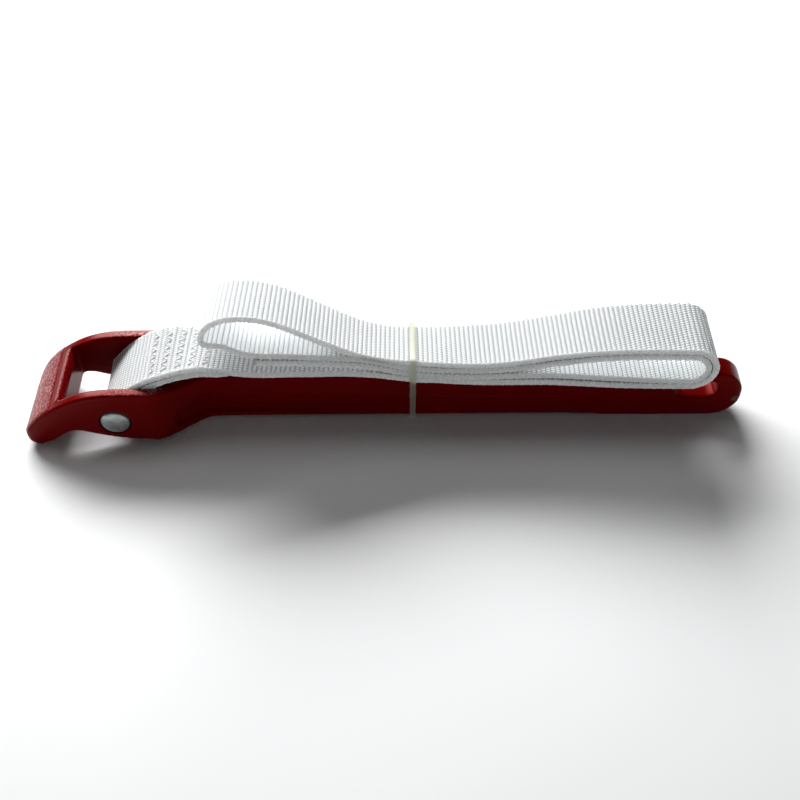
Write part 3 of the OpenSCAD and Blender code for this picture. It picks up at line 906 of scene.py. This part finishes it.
def painted_loop_glow(distance, section):
    """Painted glow, standing in for light that comes through the webbing: inside both loops, on the base run
    and along the edges.
    """
    x = np.interp(distance, route.along, route.points[:, 0])
    z = np.interp(distance, route.along, route.points[:, 1])
    half_way = 0.5 * route.length
    in_left = (1 - ease(tie_x - 42 * MM, tie_x - 20 * MM, x)) * ease(34 * MM, 40 * MM, z)
    in_left *= (distance > half_way - 0.12) * (distance < half_way + 0.16)
    in_right = ease(tie_x + 34 * MM, tie_x + 66 * MM, x) * (distance > half_way + 0.14)
    side, edge = section[:, 1], np.abs(section[:, 2])
    left = in_left[:, None] * (ease(0.5, 0.9, side) * (1 - edge))[None, :]
    right = in_right[:, None] * (ease(0.5, 0.9, -side) * (1 - edge))[None, :]
    on_base = ease(rivet_x + 34 * MM, rivet_x + 50 * MM, x) * (1 - ease(tie_x - 24 * MM, tie_x - 8 * MM, x))
    on_base *= (distance < half_way - 0.12) * 0.4
    base = on_base[:, None] * (ease(0.5, 0.9, side) * (1 - edge))[None, :]
    along_edge = 0.17 * edge * (1 + ease(0.75, 1.0, np.abs(side)))
    return np.maximum(np.maximum(left, right), base).ravel() + np.tile(along_edge, len(distance))


def sewn_share(distance):
    """How much each place along the strap is drawn in by a row of stitches."""
    x = np.interp(distance, route.along, route.points[:, 0])
    rows = [np.exp(-((x - rivet_x - first_row - k * row_pitch) / (1.2 * MM)) ** 2)
            for k in range(stitch_rows)]
    return np.where(distance < 2.2 * sewn_length + 24 * MM, sum(rows), 0)


def dirt_specks(places):
    """Small specks of dirt on the strap's near edge, each with its radius."""
    specks = np.zeros(len(places))
    for *centre, radius in ((92.0, -14.6, 32.2, 0.45), (103.5, -14.7, 31.8, 0.35),
                            (60.5, -15.0, 33.2, 0.3), (-51.0, -14.0, 40.4, 0.5)):
        reach = np.linalg.norm(places - np.array(centre) * MM, axis=1)
        specks = np.maximum(specks, 1 - ease(0.4, 1.6, reach / (radius * MM)))
    return specks


def ring_faces(rings, size):
    """Quads between neighbouring rings, facing outwards."""
    i, j = np.meshgrid(np.arange(rings - 1), np.arange(size), indexing="ij")
    a = i * size + j
    b = i * size + (j + 1) % size
    return np.stack([a, b, b + size, a + size], axis=-1).reshape(-1, 4)


def close_end(mesh, ring):
    """Closes one end of the tube with a strip of quads across its thickness."""
    size = len(ring)
    half = size // 2
    for k in range(half - 1):
        mesh.faces.new([mesh.verts[ring[n]] for n in (k, k + 1, size - 2 - k, size - 1 - k)])


def write_weave_map(piece, size, distance, section):
    """Writes the webbing's map: ribs along it, beads round it."""
    outline = np.array([(y, side * half_thickness) for y, side, _ in section])
    steps = np.linalg.norm(np.diff(np.vstack([outline, outline[:1]]), axis=0), axis=1)
    around = np.concatenate([[0], np.cumsum(steps)]) / bead_pitch
    layer = piece.data.uv_layers.new(name="weave")
    count = len(piece.data.loops)
    vertex = np.zeros(count, np.int32)
    piece.data.loops.foreach_get("vertex_index", vertex)
    ring, spot = vertex // size, vertex % size
    seam = np.zeros(count, bool)
    starts = np.zeros(len(piece.data.polygons), np.int32)
    piece.data.polygons.foreach_get("loop_start", starts)
    for corner in range(4):
        loops = starts + corner
        other = starts + (corner + 2) % 4
        seam[loops] = (spot[loops] == 0) & (spot[other] > 2)
    across = np.where(seam, around[size], around[spot])
    coordinates = np.stack([distance[ring] / rib_pitch, across], axis=-1)
    layer.data.foreach_set("uv", coordinates.astype(np.float32).ravel())


def make_strap(webbing):
    """The webbing in one length: sewn tail, eye round the rivet, and the folded run up to its cut end."""
    points, distance, section = strap_surface()
    size = points.shape[1]
    mesh = bpy.data.meshes.new("webbing_strap")
    faces = ring_faces(len(points), size)
    mesh.from_pydata(points.reshape(-1, 3).tolist(), [], faces.tolist())
    work = bmesh.new()
    work.from_mesh(mesh)
    work.verts.ensure_lookup_table()
    last = len(points) - 1
    close_end(work, range(size))
    close_end(work, range(last * size, (last + 1) * size))
    bmesh.ops.recalc_face_normals(work, faces=work.faces)
    work.to_mesh(mesh)
    work.free()
    strap = new_object("webbing_strap", mesh)
    write_weave_map(strap, size, distance, section)
    paint_attribute(mesh, "specks", dirt_specks(points.reshape(-1, 3)))
    paint_attribute(mesh, "selvedge", np.tile(np.abs(section[:, 2]), len(points)))
    paint_attribute(mesh, "sewn", np.repeat(np.clip(sewn_share(distance), 0, 1), size))
    paint_attribute(mesh, "glow", painted_loop_glow(distance, section))
    smooth_faces(strap)
    give_material(strap, webbing)
    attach(strap, "strap")
    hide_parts("strap")
    return strap


# ==== the stitching
def one_stitch():
    """One stitch of thread along X, dipping at both ends."""
    length = math.hypot(row_width, stitch_step)
    stitch = new_piece("stitch", bpy.ops.mesh.primitive_cylinder_add, vertices=6, radius=0.26 * MM,
                       depth=length * 0.9, rotation=(0, math.pi / 2, 0))
    settle(stitch)
    for side in (1, -1):
        edit_faces(stitch, lambda centre, normal: normal.x * side > 0.9)
        bpy.ops.transform.translate(value=(-side * 0.5 * MM, 0, 0))
        for shift, drop_down, scale in ((0.35, -0.12, 0.9), (0.3, -0.3, 0.6)):
            bpy.ops.mesh.extrude_region_move(
                TRANSFORM_OT_translate={"value": (side * shift * MM, 0, drop_down * MM)})
            bpy.ops.transform.resize(value=(scale,) * 3)
        leave_edit()
    smooth_faces(stitch)
    return stitch


def row_on_strap(distance, side, stitch):
    """One zigzag row across the strap at a distance along it, on one of its faces."""
    place, normal = route.at(np.array([distance]))
    lift = side * (half_thickness + 0.02 * MM)
    x, z = place[0] + lift * normal[0]
    slope = math.atan2(-normal[0][0], normal[0][1])
    base = Matrix.Translation(Vector(leaned(np.array(x), np.array(0.0), np.array(z))))
    base = base @ Matrix.Rotation(-float(tilt(x)), 4, "X") @ Matrix.Rotation(-slope, 4, "Y")
    if side < 0:
        base = base @ Matrix.Rotation(math.pi, 4, "X")
    lean = math.atan2(stitch_step, row_width)
    made = []
    for k in range(stitches_per_row):
        uneven = noise.noise(Vector((float(x) / (2 * MM), k * 0.83, side)))
        turn = (lean if k % 2 == 0 else math.pi - lean) + 0.35 * uneven
        copy = new_object("stitch", stitch.data.copy())
        across = (k + 0.5) * stitch_step - (strap_width / 2 - row_margin)
        middle = Matrix.Translation((0.8 * MM * uneven, across, -0.1 * MM * abs(uneven)))
        copy.data.transform(base @ middle @ Matrix.Rotation(turn, 4, "Z"))
        made.append(copy)
    return made


def make_stitching(thread):
    """Five zigzag rows through the sewn overlap, showing on its top and its underside."""
    stitch = one_stitch()
    rows = []
    eye_end = 2 * sewn_length
    for k in range(stitch_rows):
        x = rivet_x + first_row + k * row_pitch
        rows += row_on_strap(route.find(x, 0, sewn_length - 8 * MM), 1, stitch)
        rows += row_on_strap(route.find(x, eye_end - 10 * MM, eye_end + 60 * MM), 1, stitch)
    drop(stitch)
    stitching = join(rows, "zigzag_stitching")
    outward(stitching)
    give_material(stitching, thread)
    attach(stitching, "strap")
    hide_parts("strap_stitching")
    return stitching


# ==== the cable tie
def tied_outline():
    """Corners, in YZ, of what the tie goes round: the shank's foot and the four tied layers."""
    lean = float(tilt(tie_x))
    low = float(bed(tie_x)) - shank_top
    high = low + 3 * tied_pitch + strap_thickness
    layers = [(y * math.cos(lean) + up * math.sin(lean),
               shank_top + up * math.cos(lean) - y * math.sin(lean))
              for y, up in ((strap_width / 2, low), (strap_width / 2, high),
                            (-strap_width / 2, high), (-strap_width / 2, low))]
    return [(-shank_half, arch_rise), (shank_half, arch_rise)] + layers


def advance(step):
    """Draws the selected end of the band on by a straight step."""
    bpy.ops.mesh.extrude_region_move(TRANSFORM_OT_translate={"value": step})


def make_band():
    """The band: one flat end face drawn along each side of the bundle and spun round each corner."""
    width, thickness, gap = 2.5 * MM, 1.0 * MM, 0.25 * MM
    corners = [Vector((tie_x, y, z)) for y, z in tied_outline()]
    runs = [corners[(k + 1) % len(corners)] - corner for k, corner in enumerate(corners)]
    down = Vector((0, 0, -1))
    band = new_piece("tie_band", bpy.ops.mesh.primitive_plane_add, size=1,
                     location=corners[0] + (gap + thickness / 2) * down, rotation=(math.pi / 2, 0, 0))
    band.scale = (width, thickness, 1)
    settle(band)
    edit_faces(band, lambda centre, normal: True)
    for k, run in enumerate(runs):
        advance(run)
        after = runs[(k + 1) % len(runs)]
        turn = run.angle(after)
        bpy.ops.mesh.spin(steps=max(3, int(turn / math.radians(11))), angle=turn,
                          center=corners[(k + 1) % len(corners)], axis=after.cross(run).normalized())
    leave_edit()
    close_band(band, corners[0].y)
    return band


def close_band(band, start_y):
    """Joins the band's last end to its first, so that it is one closed ring."""
    edit_faces(band, lambda centre, normal: abs(normal.y) > 0.99 and abs(centre.y - start_y) < 0.01 * MM
               and centre.z < arch_rise)
    bpy.ops.mesh.delete(type="ONLY_FACE")
    bpy.ops.mesh.select_all(action="SELECT")
    bpy.ops.mesh.remove_doubles(threshold=0.01 * MM)
    bpy.ops.mesh.normals_make_consistent(inside=False)
    leave_edit()
    bevel_edges(band, 0.22 * MM, 2, 60)


def make_lock():
    """The locking head: a rounded box with a slot, and the cut tail standing a little out of it."""
    lock = new_piece("tie_lock", bpy.ops.mesh.primitive_cube_add, size=1)
    lock.scale = (4.6 * MM, 4.6 * MM, 3.4 * MM)
    settle(lock)
    edit_faces(lock, lambda centre, normal: normal.z < -0.9)
    bpy.ops.mesh.inset(thickness=0.75 * MM)
    bpy.ops.transform.resize(value=(1, 0.62, 1), center_override=(0, 0, 0))
    advance((0, 0, 1.1 * MM))
    leave_edit()
    bevel_edges(lock, 0.35 * MM, 3, 50)
    tail = new_piece("tie_tail", bpy.ops.mesh.primitive_cube_add, size=1,
                     location=(0, -0.25 * MM, -1.1 * MM))
    tail.scale = (2.4 * MM, 0.95 * MM, 2.6 * MM)
    settle(tail)
    edit_faces(tail, lambda centre, normal: normal.z < -0.9)
    bpy.ops.transform.rotate(value=math.radians(-14), orient_axis="X", center_override=(0, 0, -2.4 * MM))
    leave_edit()
    bevel_edges(tail, 0.12 * MM, 2, 50)
    return join([lock, tail], "tie_lock")


def make_tie(nylon):
    """The tie: its band round the bundle, and its locking head behind."""
    outline = tied_outline()
    foot, shoulder = Vector((0, *outline[1])), Vector((0, *outline[2]))
    rise = shoulder - foot
    slope = math.atan2(rise.z, rise.y)
    lock = make_lock()
    away = Vector((0, math.sin(slope), -math.cos(slope)))
    lock.rotation_euler = (slope, 0, 0)
    lock.location = Vector((tie_x, 0, 0)) + foot + 0.5 * rise + 2.45 * MM * away
    settle(lock)
    tie = join([make_band(), lock], "cable_tie_band")
    give_material(tie, nylon)
    smooth_faces(tie, 35)
    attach(tie, "handle")
    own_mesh(tie)
    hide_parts("cable_tie")


# ==== putting it together
def build():
    make_camera()
    make_studio()
    grain, weave = grain_group(), weave_group()
    handle = make_handle(red_paint(grain))
    make_rivet(plated_steel(grain))
    strap = make_strap(white_webbing(grain, weave, route.length))
    stitching = make_stitching(white_thread(grain))
    make_tie(natural_nylon(grain))


build()
